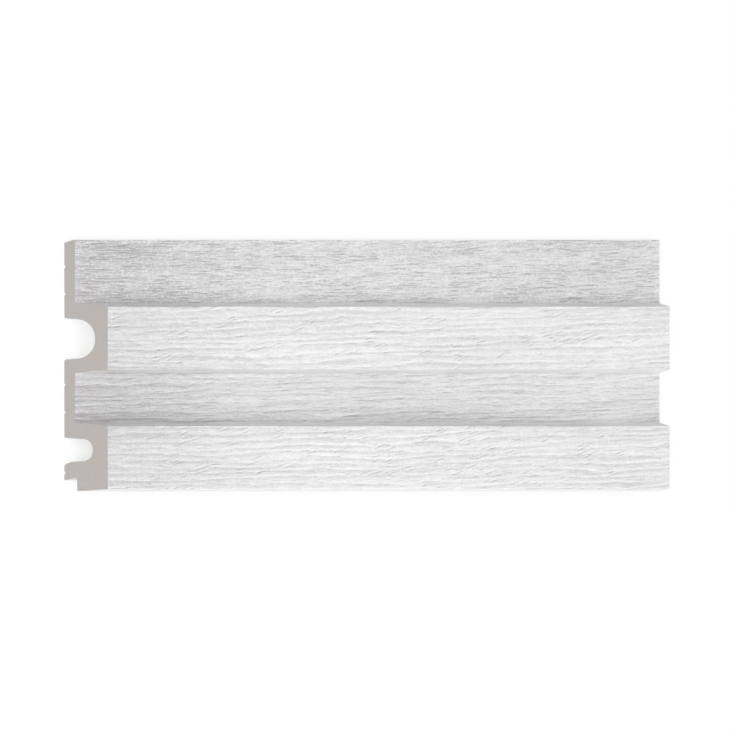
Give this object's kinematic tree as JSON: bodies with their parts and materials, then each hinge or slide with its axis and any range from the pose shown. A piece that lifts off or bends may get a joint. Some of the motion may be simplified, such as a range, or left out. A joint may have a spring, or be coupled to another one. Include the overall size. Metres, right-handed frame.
{
  "type": "slatted wall panel",
  "caption": "Extruded foam wall panel with raised slats, hollow back channels, a tongue and a lapped lip, faced in white wood grain; it is glued flat to a wall and laps onto its neighbour.",
  "frame": {"origin": "middle of the back face, under the centre of the panel's box", "axes": "+X along the panel from the mitred end to the square end, +Y across it to the tongue, +Z out of the back towards the slats"},
  "size_m": [0.303, 0.122, 0.021],
  "materials": {
    "panel": "matt white embossed wood grain on the front, bare warm grey foam on the cut ends and the back"
  },
  "bodies": {
    "root": {"wall_panel": "panel"}
  },
  "joints": []
}
